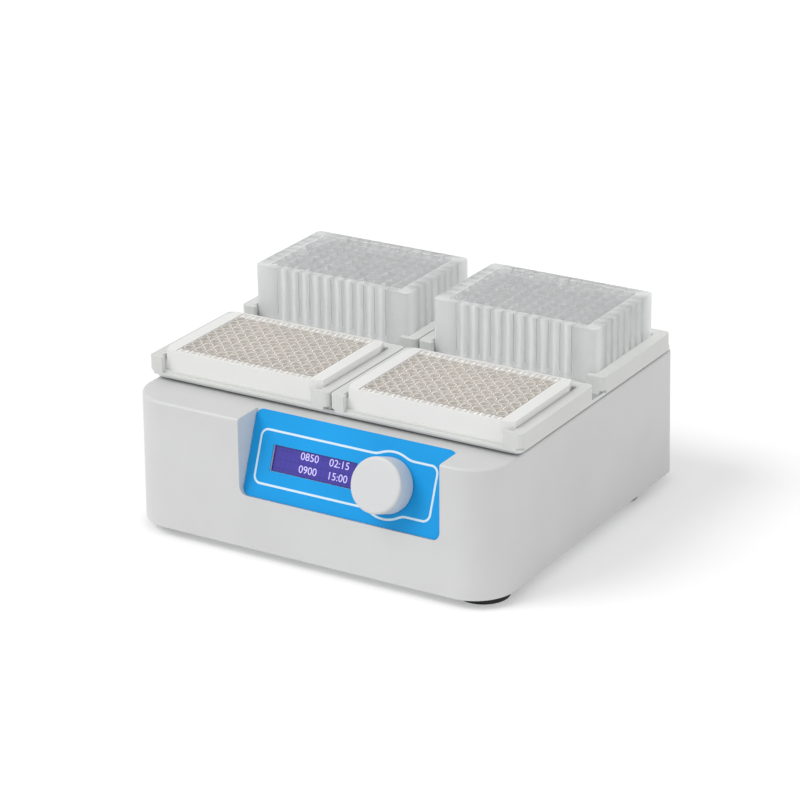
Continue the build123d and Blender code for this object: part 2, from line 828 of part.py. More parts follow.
# Four identical holders: a tray with a nest, open in front between two corner posts
front_gap_length = holder_length - left_post_width - right_post_width
front_gap_x = (left_post_width - right_post_width) / 2
for label, x, y in holder_places:
    seat = Plane(origin=(x, y, platform_top))
    with BuildPart() as holder:
        with BuildSketch(seat):
            RectangleRounded(holder_length, holder_width, holder_corner_radius)
        extrude(amount=holder_base + holder_wall_height)
        with BuildSketch(seat.offset(holder_base)):
            with Locations((0, nest_y)):
                Rectangle(nest_length, nest_width)
            with Locations((front_gap_x, -holder_width / 2)):
                Rectangle(front_gap_length, 2 * post_depth + nest_clearance)
        extrude(amount=holder_wall_height, mode=Mode.SUBTRACT)
        # Stepped front lip
        with BuildSketch(seat.offset(holder_base - lip_step_drop)):
            with Locations((front_gap_x, -holder_width / 2)):
                Rectangle(front_gap_length, 2 * lip_step_depth)
        extrude(amount=lip_step_drop, mode=Mode.SUBTRACT)
        # Undercut below the corner posts
        with BuildSketch(seat):
            with Locations((-holder_length / 2, -holder_width / 2), (holder_length / 2, -holder_width / 2)):
                Rectangle(2 * post_undercut, 2 * post_undercut)
        extrude(amount=post_undercut_height, mode=Mode.SUBTRACT)
        # Countersunk screw holes in the floor
        with BuildSketch(seat):
            with Locations(*holder_screw_points):
                RegularPolygon(holder_screw_radius + thread_clearance, small_sides)
        extrude(amount=holder_base, mode=Mode.SUBTRACT)
        with BuildSketch(seat.offset(holder_base)):
            with Locations(*holder_screw_points):
                RegularPolygon(holder_screw_head_radius + thread_clearance, small_sides)
        extrude(amount=-holder_screw_sink, taper=45, mode=Mode.SUBTRACT)

    holder.part.label = label
    export_step(holder.part, f"parts/{label}.step")

with BuildPart() as holder_screws:
    with BuildSketch(Plane.XY.offset(platform_bottom)):
        with Locations(*all_holder_screws):
            RegularPolygon(holder_screw_radius, small_sides)
    extrude(amount=nest_floor - platform_bottom)
    with BuildSketch(Plane.XY.offset(nest_floor)):
        with Locations(*all_holder_screws):
            RegularPolygon(holder_screw_head_radius, small_sides)
    extrude(amount=-holder_screw_sink, taper=45)

holder_screws.part.label = "holder_screws"
export_step(holder_screws.part, "parts/holder_screws.step")

# Low plates: a frame with twelve strips of eight wells
plate_y = front_holder_y + nest_y
field_length = well_columns * well_pitch
field_width = well_rows * well_pitch
opening_length = field_length + 2 * strip_clearance
for side, x in (("left", -holder_x), ("right", holder_x)):
    seat = Plane(origin=(x, plate_y, nest_floor))
    with BuildPart() as frame:
        with BuildSketch(seat):
            Rectangle(plate_length, plate_width)
        extrude(amount=low_skirt_height)
        with BuildSketch(seat.offset(low_skirt_height)) as rim:
            Rectangle(plate_length, plate_width)
            chamfer(rim.vertices(), low_corner_cut_x, low_corner_cut_y)
        extrude(amount=low_plate_height - low_skirt_height)
        with BuildSketch(seat):
            Rectangle(opening_length, field_width + 2 * strip_clearance)
        extrude(amount=low_plate_height, mode=Mode.SUBTRACT)
        with BuildSketch(seat.offset(low_plate_height)):
            Rectangle(opening_length, strip_length + 2 * strip_clearance)
        extrude(amount=-strip_tab, mode=Mode.SUBTRACT)
        # Hollow side bars
        side_bar = (plate_length - opening_length) / 2
        with BuildSketch(seat):
            with GridLocations(plate_length - side_bar, 0, 2, 1):
                Rectangle(side_bar - 2 * frame_wall, field_width)
        extrude(amount=low_plate_height - frame_wall, mode=Mode.SUBTRACT)

    frame.part.label = f"low_plate_{side}_frame"
    export_step(frame.part, f"parts/low_plate_{side}_frame.step")

    with BuildPart() as strips:
        with BuildSketch(seat.offset(low_plate_height)):
            with GridLocations(well_pitch, 0, well_columns, 1):
                Rectangle(strip_width, strip_length)
        extrude(amount=-strip_tab)
        with BuildSketch(seat.offset(strip_floor_gap)):
            with GridLocations(well_pitch, 0, well_columns, 1):
                Rectangle(strip_width, field_width)
        extrude(amount=low_plate_height - strip_floor_gap)
        with BuildSketch(seat.offset(low_plate_height)):
            with GridLocations(well_pitch, well_pitch, well_columns, well_rows):
                Rectangle(strip_well, strip_well)
        extrude(
            amount=-(low_plate_height - strip_floor_gap - strip_well_floor),
            mode=Mode.SUBTRACT,
        )

    strips.part.label = f"low_plate_{side}_strips"
    export_step(strips.part, f"parts/low_plate_{side}_strips.step")

# Deep-well plates: a skirted shell round a block of square wells
body_length = plate_length - 2 * deep_skirt_step
body_width = plate_width - 2 * deep_skirt_step
for side, x in (("left", -holder_x), ("right", holder_x)):
    seat = Plane(origin=(x, rear_holder_y + nest_y + deep_plate_shift, nest_floor))
    with BuildPart() as deep_plate:
        with BuildSketch(seat):
            RectangleRounded(plate_length, plate_width, deep_corner_radius)
        extrude(amount=deep_skirt_height)
        with BuildSketch(seat):
            RectangleRounded(body_length, body_width, deep_corner_radius)
            with GridLocations(0, deep_rib_pitch, 1, 3):
                Rectangle(plate_length, deep_rib_width)
            with GridLocations(deep_rib_pitch, 0, 4, 1):
                Rectangle(deep_rib_width, plate_width)
        extrude(amount=deep_plate_height)
        # Ring-shaped hollow between the shell and the wells, open below
        with BuildSketch(seat):
            Rectangle(body_length - 2 * deep_wall, body_width - 2 * deep_wall)
            Rectangle(field_length, field_width, mode=Mode.SUBTRACT)
        extrude(amount=deep_plate_height - deep_hollow_roof, mode=Mode.SUBTRACT)
        with BuildSketch(seat.offset(deep_plate_height)):
            with GridLocations(well_pitch, well_pitch, well_columns, well_rows):
                Rectangle(deep_well, deep_well)
        extrude(amount=-(deep_plate_height - deep_well_floor), mode=Mode.SUBTRACT)

    deep_plate.part.label = f"deep_plate_{side}"
    export_step(deep_plate.part, f"parts/deep_plate_{side}.step")

# Circuit boards, each on four snap-in posts
power_board_y = housing_y + power_board_shift
control_board_y = housing_y + control_board_shift
boards = (
    ("power_board", power_board_x, power_board_y, power_board_length, power_board_width),
    ("control_board", control_board_x, control_board_y, control_board_length, control_board_width),
)
for label, x, y, length, width in boards:
    with BuildPart() as board:
        with BuildSketch(Plane(origin=(x, y, board_bottom))):
            Rectangle(length, width)
            with GridLocations(length - 2 * board_post_inset, width - 2 * board_post_inset, 2, 2):
                RegularPolygon(board_nub_radius + thread_clearance, small_sides, mode=Mode.SUBTRACT)
        extrude(amount=board_thickness)

    board.part.label = label
    export_step(board.part, f"parts/{label}.step")

with BuildPart() as board_posts:
    for _, x, y, length, width in boards:
        grid = GridLocations(length - 2 * board_post_inset, width - 2 * board_post_inset, 2, 2)
        with BuildSketch(Plane(origin=(x, y, base_top))):
            with grid:
                RegularPolygon(board_post_size, small_sides)
        extrude(amount=board_lift)
        with BuildSketch(Plane(origin=(x, y, board_bottom))):
            with grid:
                RegularPolygon(board_nub_radius, small_sides)
        extrude(amount=board_nub_height)

board_posts.part.label = "board_posts"
export_step(board_posts.part, "parts/board_posts.step")

# Components, as boxes of length, width and height at a place on their board
power_blocks = ((-18, 12, 30, 26, 24), (8, -26, 44, 8, 26), (-24, -18, 18, 12, 16), (24, 24, 16, 14, 12))
with BuildPart() as power_parts:
    for dx, dy, length, width, height in power_blocks:
        with BuildSketch(Plane(origin=(power_board_x + dx, power_board_y + dy, board_top))):
            Rectangle(length, width)
        extrude(amount=height)
    with BuildSketch(Plane(origin=(power_board_x + 18, power_board_y + 2, board_top))):
        Circle(10)
    extrude(amount=30)

power_parts.part.label = "power_parts"
export_step(power_parts.part, "parts/power_parts.step")

control_blocks = ((0, 0, 14, 14, 1.6), (-18, 26, 18, 8, 10), (18, 26, 18, 8, 10), (4, -26, 36, 10, 20), (18, 2, 8, 12, 2))
with BuildPart() as control_parts:
    for dx, dy, length, width, height in control_blocks:
        with BuildSketch(Plane(origin=(control_board_x + dx, control_board_y + dy, board_top))):
            Rectangle(length, width)
        extrude(amount=height)

control_parts.part.label = "control_parts"
export_step(control_parts.part, "parts/control_parts.step")

# Mains inlet with a socket above and a slot for the fuse drawer below
inlet_place = (-inlet_x, inlet_z)
socket_place = (-inlet_x, inlet_z + socket_rise)
drawer_place = (-inlet_x, inlet_z - drawer_drop)
blade_places = (
    (-inlet_x, inlet_z + socket_rise + blade_row_offset),
    (-inlet_x - blade_pitch, inlet_z + socket_rise - blade_row_offset),
    (-inlet_x + blade_pitch, inlet_z + socket_rise - blade_row_offset),
)
with BuildPart() as inlet_body:
    with BuildSketch(rear_face):
        with Locations(inlet_place):
            Rectangle(inlet_flange_width, inlet_flange_height)
    extrude(amount=flange_thickness)
    with BuildSketch(rear_face):
        with Locations(inlet_place):
            Rectangle(inlet_body_width, inlet_body_height)
    extrude(amount=-inlet_body_depth)
    with BuildSketch(flange_front) as socket:
        with Locations(socket_place):
            Rectangle(socket_width, socket_height)
        chamfer(socket.vertices().group_by(Axis.Z)[-1], socket_corner_cut)
    extrude(amount=-socket_depth, mode=Mode.SUBTRACT)
    with BuildSketch(flange_front):
        with Locations(drawer_place):
            Rectangle(drawer_width, drawer_height)
    extrude(amount=-drawer_depth - drawer_clearance, mode=Mode.SUBTRACT)
    with BuildSketch(flange_front):
        with Locations(*blade_places):
            Rectangle(blade_width + 2 * seat_clearance, blade_height + 2 * seat_clearance)
    extrude(amount=-inlet_body_depth - flange_thickness, mode=Mode.SUBTRACT)

inlet_body.part.label = "inlet_body"
export_step(inlet_body.part, "parts/inlet_body.step")

with BuildPart() as inlet_blades:
    with BuildSketch(flange_front.offset(-blade_recess)):
        with Locations(*blade_places):
            Rectangle(blade_width, blade_height)
    extrude(amount=-blade_length - inlet_body_depth + socket_depth)

inlet_blades.part.label = "inlet_blades"
export_step(inlet_blades.part, "parts/inlet_blades.step")

# Fuse drawer, with the fuse lying across it
fuse_plane = Plane(
    origin=(inlet_x - fuse_length / 2, recess_y + flange_thickness - fuse_back, inlet_z - drawer_drop),
    x_dir=(0, 1, 0),
    z_dir=(1, 0, 0),
)
with BuildPart() as fuse_drawer:
    with BuildSketch(flange_front):
        with Locations(drawer_place):
            Rectangle(drawer_width - 2 * drawer_clearance, drawer_height - 2 * drawer_clearance)
    extrude(amount=-drawer_depth)
    with BuildSketch(flange_front):
        with Locations(drawer_place):
            Rectangle(drawer_face_width, drawer_face_height)
    extrude(amount=drawer_face_thickness)
    with BuildSketch(fuse_plane):
        Circle(fuse_radius + seat_clearance)
        with Locations((0, drawer_height / 2)):
            Rectangle(2 * (fuse_radius + seat_clearance), drawer_height)
    extrude(amount=fuse_length, mode=Mode.SUBTRACT)

fuse_drawer.part.label = "fuse_drawer"
export_step(fuse_drawer.part, "parts/fuse_drawer.step")

with BuildPart() as fuse:
    with BuildSketch(fuse_plane):
        Circle(fuse_radius)
    extrude(amount=fuse_length)

fuse.part.label = "fuse"
export_step(fuse.part, "parts/fuse.step")

# Rocker switch: the rocker's ends are arcs about its pin
switch_place = (-switch_x, inlet_z)
pivot_y = recess_y + flange_thickness - rocker_pivot_depth
rocker_room = rocker_radius + rocker_clearance
rocker_side = Plane(origin=(switch_x, pivot_y, inlet_z), x_dir=(0, 1, 0), z_dir=(1, 0, 0))
with BuildPart() as switch_body:
    with BuildSketch(rear_face):
        with Locations(switch_place):
            Rectangle(switch_flange_width, switch_flange_height)
    extrude(amount=flange_thickness)
    with BuildSketch(rear_face):
        with Locations(switch_place):
            Rectangle(switch_body_width, switch_body_height)
    extrude(amount=-switch_body_depth)
    with BuildSketch(flange_front):
        with Locations(switch_place):
            Rectangle(rocker_width + 2 * rocker_clearance, 2 * rocker_room)
    extrude(amount=-rocker_pivot_depth - rocker_back - 2, mode=Mode.SUBTRACT)
    with BuildSketch(rocker_side):
        Circle(rocker_pin_radius + shaft_clearance)
    extrude(amount=rocker_width / 2 + rocker_clearance + rocker_pin_reach, both=True, mode=Mode.SUBTRACT)

switch_body.part.label = "switch_body"
export_step(switch_body.part, "parts/switch_body.step")

with BuildPart() as switch_rocker:
    with BuildSketch(rocker_side):
        Circle(rocker_radius)
        with BuildLine():
            Polyline(
                (-rocker_back, -rocker_room),
                (rocker_ear_rise, -rocker_room),
                (rocker_face_rise, 0),
                (rocker_ear_rise, rocker_room),
                (-rocker_back, rocker_room),
                close=True,
            )
        make_face(mode=Mode.INTERSECT)
    extrude(amount=rocker_width / 2, both=True)
    with BuildSketch(rocker_side):
        Circle(rocker_pin_radius)
    extrude(amount=rocker_width / 2 + rocker_pin_reach, both=True)

switch_rocker.part.label = "switch_rocker"
export_step(switch_rocker.part, "parts/switch_rocker.step")
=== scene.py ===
# %% [markdown]
# Microplate shaker. A light grey case carries a small platform that runs round a tight circle, and
# four microplates sit in holders on top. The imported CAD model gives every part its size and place.
# This notebook adds what a picture needs: finishes, clear plates with real wells, figures on the
# display, a pale studio and the camera.

# %% Load the frame
from math import copysign, cos, degrees, pi, radians, sin

import bmesh
import bpy
from mathutils import Matrix, Vector


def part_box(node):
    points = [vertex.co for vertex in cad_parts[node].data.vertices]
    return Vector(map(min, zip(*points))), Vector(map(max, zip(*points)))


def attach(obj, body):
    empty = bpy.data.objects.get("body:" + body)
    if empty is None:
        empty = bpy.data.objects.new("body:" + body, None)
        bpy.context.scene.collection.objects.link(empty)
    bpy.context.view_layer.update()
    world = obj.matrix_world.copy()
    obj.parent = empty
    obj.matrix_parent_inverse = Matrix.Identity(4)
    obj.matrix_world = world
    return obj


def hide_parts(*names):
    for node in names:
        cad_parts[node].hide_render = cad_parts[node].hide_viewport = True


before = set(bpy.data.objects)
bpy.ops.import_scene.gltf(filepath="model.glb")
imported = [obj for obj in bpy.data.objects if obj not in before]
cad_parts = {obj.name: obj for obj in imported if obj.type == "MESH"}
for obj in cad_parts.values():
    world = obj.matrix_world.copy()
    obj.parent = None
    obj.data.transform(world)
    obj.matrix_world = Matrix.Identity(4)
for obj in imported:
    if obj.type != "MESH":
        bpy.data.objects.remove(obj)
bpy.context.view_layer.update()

MM = 0.001

# %% [markdown]
# The camera stands right of the front and a little above, with a long lens, so the sides hardly
# converge. It could be aimed with a Track To constraint at an empty. Here its three axes are worked
# out from a compass angle, a height angle and a small roll, because that says exactly where the
# lens looks. The Standard view transform shows each colour as it was chosen.

# %% Camera
camera_place = Vector((1023.98, -1678.27, 874.05)) * MM
camera_turn, camera_tilt, camera_roll = radians(31.435), radians(22.031), radians(-0.839)
camera_lens, sensor_width = 137.9, 36
camera_reach = 20

side = Vector((cos(camera_turn), sin(camera_turn), 0))
back = Vector((sin(camera_turn) * cos(camera_tilt), -cos(camera_turn) * cos(camera_tilt), sin(camera_tilt)))
rise = back.cross(side)
lens_side = cos(camera_roll) * side + sin(camera_roll) * rise
lens_rise = -sin(camera_roll) * side + cos(camera_roll) * rise
lens_axes = Matrix((lens_side, lens_rise, back)).transposed().to_4x4()

camera_data = bpy.data.cameras.new("camera")
camera_data.lens = camera_lens
camera_data.sensor_width = sensor_width
camera_data.clip_end = camera_reach
camera = bpy.data.objects.new("camera", camera_data)
bpy.context.scene.collection.objects.link(camera)
camera.matrix_world = Matrix.Translation(camera_place) @ lens_axes
bpy.context.scene.camera = camera
bpy.context.scene.view_settings.view_transform = "Standard"
print("camera at", [round(c, 3) for c in camera_place], "m with a lens of", camera_lens, "mm")

# %% [markdown]
# A product picture has an even white surround. A bright white world would do that, but it would
# also bleach the object. The Light Path node knows what kind of ray asks, so the world is white to
# the camera, in reflections and behind clear plastic, and a softer grey where it acts as a lamp.

# %% World
ambient = 0.56


def seen_directly(tree):
    """One for rays from the camera, a reflection or clear plastic, and zero for others."""
    path = tree.nodes.new("ShaderNodeLightPath")
    found = path.outputs["Is Camera Ray"]
    for name in ("Is Glossy Ray", "Is Transmission Ray"):
        larger = tree.nodes.new("ShaderNodeMath")
        larger.operation = "MAXIMUM"
        tree.links.new(found, larger.inputs[0])
        tree.links.new(path.outputs[name], larger.inputs[1])
        found = larger.outputs[0]
    return found


def between(tree, value, low, high, low_in=0.0, high_in=1.0):
    """A value in one range spread over another."""
    node = tree.nodes.new("ShaderNodeMapRange")
    for name, number in (("From Min", low_in), ("From Max", high_in), ("To Min", low), ("To Max", high)):
        node.inputs[name].default_value = number
    tree.links.new(value, node.inputs["Value"])
    return node.outputs["Result"]


world = bpy.data.worlds.new("studio")
world.use_nodes = True
bpy.context.scene.world = world
sky = world.node_tree.nodes["Background"]
sky.inputs["Color"].default_value = (1, 1, 1, 1)
sky_level = between(world.node_tree, seen_directly(world.node_tree), ambient, 1.0)
world.node_tree.links.new(sky_level, sky.inputs["Strength"])
print("world lights at", ambient)

# %% [markdown]
# The shaker stands on white paper. A plane with a shadow catcher is another way, but the object
# must throw a real shadow in every view. A wide pale disc takes it, and a little glow, for the
# camera's eye alone, lifts the paper to the white of the world, so that no edge shows.

# %% Floor
floor_radius, floor_sides = 4.0, 64
floor_grey, floor_rough = 0.88, 0.9
floor_glow = 0.22

floor_mesh = bpy.data.meshes.new("floor")
bm = bmesh.new()
bmesh.ops.create_circle(bm, cap_ends=True, segments=floor_sides, radius=floor_radius)
bm.to_mesh(floor_mesh)
bm.free()
floor = bpy.data.objects.new("floor", floor_mesh)
bpy.context.scene.collection.objects.link(floor)

paper = bpy.data.materials.new("paper")
paper.use_nodes = True
paper_shader = paper.node_tree.nodes["Principled BSDF"]
paper_shader.inputs["Base Color"].default_value = (floor_grey, floor_grey, floor_grey, 1)
paper_shader.inputs["Roughness"].default_value = floor_rough
paper_shader.inputs["Specular IOR Level"].default_value = 0.0
paper_shader.inputs["Emission Color"].default_value = (1, 1, 1, 1)
paper_level = between(paper.node_tree, seen_directly(paper.node_tree), 0.0, floor_glow)
paper.node_tree.links.new(paper_level, paper_shader.inputs["Emission Strength"])
floor_mesh.materials.append(paper)
print("floor is", 2 * floor_radius, "m across")

# %% [markdown]
# The key light comes from the front left and above, soft enough that shadows have wide edges. A
# weak fill from the right keeps the right wall only a shade darker. Area lamps would do, but their
# light fades with distance. A sun with a wide angle is just as soft and lights every part alike.

# %% Lights
suns = {
    "key": {"towards": (0.56, 0.56, -0.85), "strength": 1.38, "spread": 34},
    "fill": {"towards": (-0.8, 0.35, -0.45), "strength": 0.5, "spread": 60},
}
for sun_name, sun in suns.items():
    sun_data = bpy.data.lights.new(sun_name, "SUN")
    sun_data.energy = sun["strength"]
    sun_data.angle = radians(sun["spread"])
    lamp = bpy.data.objects.new(sun_name, sun_data)
    lamp.rotation_euler = Vector(sun["towards"]).to_track_quat("-Z", "Y").to_euler()
    bpy.context.scene.collection.objects.link(lamp)
    print(sun_name, "shines towards", sun["towards"])

# %% [markdown]
# Most parts are moulded plastic, paint or plated metal. A picture of each could be wrapped on, but
# it needs an unwrapped mesh. One recipe of nodes serves them all: a base colour that drifts slightly
# from place to place, a roughness that drifts in fine spots, and a bump from the same spots for the
# grain of the mould. The patterns read Object coordinates, so they stay on the part in every view.

# %% Finish recipe
noise_band = (0.3, 0.7)
patch_detail, spot_detail = 3.0, 2.0
rough_drift = 0.12
bump_strength = 0.5


def add_noise(tree, vector, scale, detail):
    """A noise pattern with so many features to the metre."""
    noise = tree.nodes.new("ShaderNodeTexNoise")
    noise.inputs["Scale"].default_value = scale
    noise.inputs["Detail"].default_value = detail
    tree.links.new(vector, noise.inputs["Vector"])
    return noise.outputs["Fac"]


def mix_colours(tree, factor):
    """A colour mix whose two ends are still to be set."""
    mix = tree.nodes.new("ShaderNodeMix")
    mix.data_type = "RGBA"
    tree.links.new(factor, mix.inputs["Factor"])
    return mix


def make_finish(name, colour, rough, metal=0.0, gloss=0.5, alpha=1.0,
                drift=0.03, patch=18, grain=900, depth=0.02):
    """A procedural finish. Patch and grain are features to the metre, depth is in millimetres."""
    material = bpy.data.materials.new(name)
    material.use_nodes = True
    tree = material.node_tree
    shader = tree.nodes["Principled BSDF"]
    where = tree.nodes.new("ShaderNodeTexCoord").outputs["Object"]

    patches = between(tree, add_noise(tree, where, patch, patch_detail), 0, 1, *noise_band)
    drifted = mix_colours(tree, patches)
    drifted.inputs["A"].default_value = (*[c * (1 - drift) for c in colour], 1)
    drifted.inputs["B"].default_value = (*[min(1, c * (1 + drift)) for c in colour], 1)
    tree.links.new(drifted.outputs["Result"], shader.inputs["Base Color"])

    spots = add_noise(tree, where, grain, spot_detail)
    smooth, dull = rough * (1 - rough_drift), min(1, rough * (1 + rough_drift))
    tree.links.new(between(tree, spots, smooth, dull, *noise_band), shader.inputs["Roughness"])
    bump = tree.nodes.new("ShaderNodeBump")
    bump.inputs["Strength"].default_value = bump_strength
    bump.inputs["Distance"].default_value = depth * MM
    tree.links.new(spots, bump.inputs["Height"])
    tree.links.new(bump.outputs["Normal"], shader.inputs["Normal"])

    shader.inputs["Metallic"].default_value = metal
    shader.inputs["Specular IOR Level"].default_value = gloss
    shader.inputs["Alpha"].default_value = alpha
    return material


# %% [markdown]
# The case, the holders and the frames of the low plates are three near-white plastics, and the eye
# tells them apart by a few hundredths of grey. Each could be its own node tree, but numbers are
# easier to compare side by side. Rubber has a deeper, duller grain than the black mouldings.

# %% Plastics and rubber
case_plastic = make_finish("case_plastic", (0.66, 0.665, 0.66), 0.42, grain=1500)
holder_plastic = make_finish("holder_plastic", (0.70, 0.71, 0.69), 0.45, grain=1500)
frame_plastic = make_finish("frame_plastic", (0.84, 0.84, 0.825), 0.32, drift=0.015, grain=1200, depth=0.01)
knob_plastic = make_finish("knob_plastic", (0.67, 0.675, 0.68), 0.38, drift=0.015, grain=1300)
black_plastic = make_finish("black_plastic", (0.018, 0.018, 0.02), 0.4, drift=0.2, grain=1400)
rubber = make_finish("rubber", (0.012, 0.012, 0.013), 0.75, drift=0.25, grain=2200, depth=0.05)
print("plastics:", case_plastic.name, holder_plastic.name, frame_plastic.name, knob_plastic.name)

# %% [markdown]
# Metal parts differ in how they were made: rolled and plated sheet is mottled, ground shafts are
# smooth, castings are dark and dull. Metallic at 1 gives bare metal its coloured reflections, and
# the recipe's patch size and roughness do the rest. Boards, paint and the fuse use it as well.

# %% Metals, boards and glass
aluminium = make_finish("aluminium", (0.60, 0.61, 0.62), 0.34, metal=1.0, grain=2600)
zinc_sheet = make_finish("zinc_sheet", (0.62, 0.63, 0.64), 0.36, metal=1.0, drift=0.12, patch=90)
screw_steel = make_finish("screw_steel", (0.58, 0.58, 0.57), 0.3, metal=1.0, grain=3000)
ground_steel = make_finish("ground_steel", (0.66, 0.66, 0.67), 0.18, metal=1.0, grain=4000, depth=0.01)
cast_iron = make_finish("cast_iron", (0.16, 0.16, 0.165), 0.6, metal=0.8, drift=0.2, depth=0.08)
can_paint = make_finish("can_paint", (0.05, 0.052, 0.056), 0.35, drift=0.15)
brass = make_finish("brass", (0.80, 0.60, 0.28), 0.28, metal=1.0, grain=2600)
board_green = make_finish("board_green", (0.02, 0.16, 0.06), 0.35, drift=0.25, patch=420, gloss=0.6)
fuse_glass = make_finish("fuse_glass", (0.8, 0.84, 0.84), 0.06, alpha=0.35, gloss=0.7)
print("materials so far:", len(bpy.data.materials))

# %% [markdown]
# The control panel leans back, so its print and its display follow tilted directions. The pattern
# could be turned by a Mapping node. Plain arithmetic on the Object coordinates is used, because
# the distances then come out in millimetres across and up the panel.

# %% Panel directions
panel_tilt = radians(21.2)
panel_top = Vector((0, -103.2, 99.2)) * MM
panel_rise = Vector((0, sin(panel_tilt), cos(panel_tilt)))
panel_out = Vector((0, -cos(panel_tilt), sin(panel_tilt)))
panel_axes = Matrix((Vector((1, 0, 0)), panel_rise, panel_out)).transposed().to_4x4()
panel = Matrix.Translation(panel_top) @ panel_axes


def maths(tree, operation, first, second=0.0, third=0.0):
    """One step of arithmetic on sockets or numbers."""
    node = tree.nodes.new("ShaderNodeMath")
    node.operation = operation
    for socket, value in zip(node.inputs, (first, second, third)):
        if isinstance(value, (int, float)):
            socket.default_value = value
        else:
            tree.links.new(value, socket)
    return node.outputs[0]


def panel_coordinates(tree):
    """Across and up the panel in millimetres, from Object coordinates."""
    where = tree.nodes.new("ShaderNodeTexCoord").outputs["Object"]
    split = tree.nodes.new("ShaderNodeSeparateXYZ")
    tree.links.new(where, split.inputs[0])
    across = maths(tree, "MULTIPLY", split.outputs["X"], 1 / MM)
    from_top_y = maths(tree, "SUBTRACT", split.outputs["Y"], panel_top.y)
    from_top_z = maths(tree, "SUBTRACT", split.outputs["Z"], panel_top.z)
    up_by_y = maths(tree, "MULTIPLY", from_top_y, panel_rise.y / MM)
    up_by_z = maths(tree, "MULTIPLY", from_top_z, panel_rise.z / MM)
    return across, maths(tree, "ADD", up_by_y, up_by_z)


def print_over(finish, mask, colour):
    """Prints a colour over a finish wherever the mask is one."""
    tree = finish.node_tree
    base = tree.nodes["Principled BSDF"].inputs["Base Color"]
    under = base.links[0].from_socket
    printed = mix_colours(tree, mask)
    printed.inputs["B"].default_value = (*colour, 1)
    tree.links.new(under, printed.inputs["A"])
    tree.links.new(printed.outputs["Result"], base)


print("panel leans back by", round(degrees(panel_tilt), 1), "degrees")

# %% [markdown]
# The overlay is a printed blue film. A pale line runs round it and swells in an arc beside the
# knob. The line could be a thin curve on the surface, but real ink has no thickness. The distance
# to a rounded rectangle and the distance to a circle are blended, and where the blend is near zero
# there is ink. The same trick draws any outline that is a few simple shapes run together.

# %% Overlay print
line_centre, line_half = (24.25, -30.65), (68.25, 18.35)
line_corner = 5.0
line_half_width = 0.75
knob_centre, bulge_radius = (58.3, -31.2), 22.4
bulge_blend = 3.0


def rounded_box_distance(tree, across, up, centre, half, corner):
    """How far a point lies outside a rounded rectangle."""
    reach = []
    for value, middle, size in ((across, centre[0], half[0]), (up, centre[1], half[1])):
        off = maths(tree, "ABSOLUTE", maths(tree, "SUBTRACT", value, middle))
        reach.append(maths(tree, "SUBTRACT", off, size - corner))
    outside = [maths(tree, "MAXIMUM", r, 0.0) for r in reach]
    square = maths(tree, "ADD", *[maths(tree, "MULTIPLY", o, o) for o in outside])
    inside = maths(tree, "MINIMUM", maths(tree, "MAXIMUM", *reach), 0.0)
    return maths(tree, "SUBTRACT", maths(tree, "ADD", maths(tree, "SQRT", square), inside), corner)


def circle_distance(tree, across, up, centre, radius):
    """How far a point lies outside a circle."""
    x = maths(tree, "SUBTRACT", across, centre[0])
    y = maths(tree, "SUBTRACT", up, centre[1])
    square = maths(tree, "ADD", maths(tree, "MULTIPLY", x, x), maths(tree, "MULTIPLY", y, y))
    return maths(tree, "SUBTRACT", maths(tree, "SQRT", square), radius)


overlay_film = make_finish("overlay_film", (0.006, 0.34, 0.79), 0.38, drift=0.05, grain=2200, gloss=0.25)
tree = overlay_film.node_tree
across, up = panel_coordinates(tree)
to_frame = rounded_box_distance(tree, across, up, line_centre, line_half, line_corner)
to_bulge = circle_distance(tree, across, up, knob_centre, bulge_radius)
to_line = maths(tree, "ABSOLUTE", maths(tree, "SMOOTH_MIN", to_frame, to_bulge, bulge_blend))
print_over(overlay_film, maths(tree, "LESS_THAN", to_line, line_half_width), (0.72, 0.86, 0.94))
print("overlay uses", len(tree.nodes), "nodes")

# %% [markdown]
# The display glass is a deep indigo with the faint grid of its character cells. A Brick Texture
# could draw the grid once its vector is turned. The panel's own coordinates are at hand, so they
# are divided by the cell size: the fraction runs from zero to one in each cell, and its first part
# is the gap between cells.

# %% Display glass
cell_across, cell_up = 3.55, 5.95
cell_gap = 0.14
grid_shift = 400.0

display_indigo = make_finish("display_indigo", (0.045, 0.03, 0.36), 0.12, drift=0.06, gloss=0.6)
tree = display_indigo.node_tree
gaps = []
for value, size in zip(panel_coordinates(tree), (cell_across, cell_up)):
    in_cell = maths(tree, "FRACT", maths(tree, "DIVIDE", maths(tree, "ADD", value, grid_shift), size))
    gaps.append(maths(tree, "LESS_THAN", in_cell, cell_gap))
print_over(display_indigo, maths(tree, "MAXIMUM", *gaps), (0.035, 0.022, 0.30))
print("display cells are", cell_across, "by", cell_up, "mm")

# %% [markdown]
# Clear polystyrene strips and frosted polypropylene plates let light through. Full glass would
# be slow and noisy with hundreds of thin walls, so each wall is partly see-through instead. The
# walls behind show, and many layers add up to a milky block. Subsurface light softens the walls.

# %% Clear plate finishes
strip_look = {"drift": 0.04, "patch": 140, "gloss": 0.9}
strip_clear = make_finish("strip_clear", (0.80, 0.76, 0.71), 0.12, alpha=0.5, **strip_look)
strip_tab = make_finish("strip_tab", (0.70, 0.675, 0.64), 0.12, alpha=0.85, **strip_look)
# The rims and the nibs wear a paler, near-opaque copy of the strip plastic: a painted highlight for the
# glints on them.
strip_rim_painted_glint = make_finish("strip_rim_painted_glint", (0.93, 0.92, 0.90), 0.1, drift=0.02, patch=140, gloss=1.0, alpha=0.9)
deep_look = {"drift": 0.02, "patch": 60}
deep_frosted = make_finish("deep_frosted", (0.93, 0.945, 0.95), 0.3, alpha=0.66, **deep_look)
deep_wells = make_finish("deep_wells", (0.93, 0.945, 0.95), 0.3, alpha=0.26, gloss=0.4, **deep_look)

